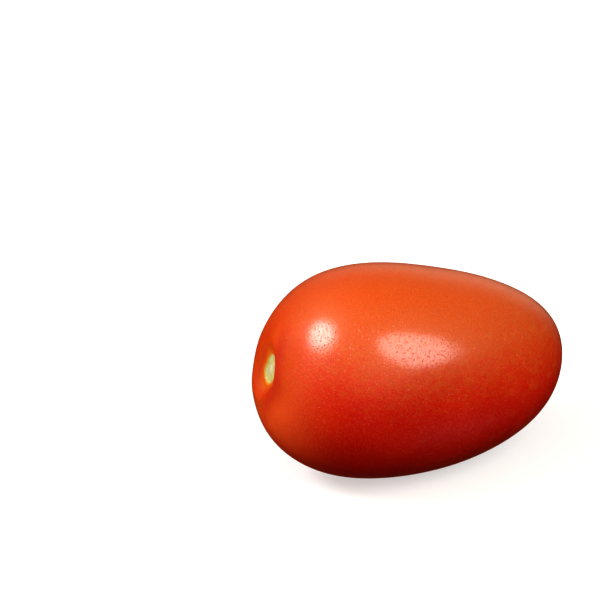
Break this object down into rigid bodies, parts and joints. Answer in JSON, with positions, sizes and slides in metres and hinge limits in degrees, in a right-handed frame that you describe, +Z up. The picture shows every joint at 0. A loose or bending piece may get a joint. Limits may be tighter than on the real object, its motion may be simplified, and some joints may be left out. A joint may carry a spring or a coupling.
{
  "type": "tomato",
  "caption": "Plum tomato lying on its side: a smooth oval fruit, broad at the stem end with a shallow dimple and scar, tapering to a rounded blossom end.",
  "frame": {"origin": "centre of the fruit's outline seen from above, on the surface that it rests on", "axes": "+X along the fruit's length, from the stem end to the blossom end; +Z up as it lies"},
  "size_m": [0.0774, 0.052, 0.0521],
  "materials": {
    "tomato_skin": "smooth, glossy, ripe orange-red skin, with a pale corky scar in the stem dimple"
  },
  "bodies": {
    "root": {"tomato": "tomato_skin"}
  },
  "joints": []
}
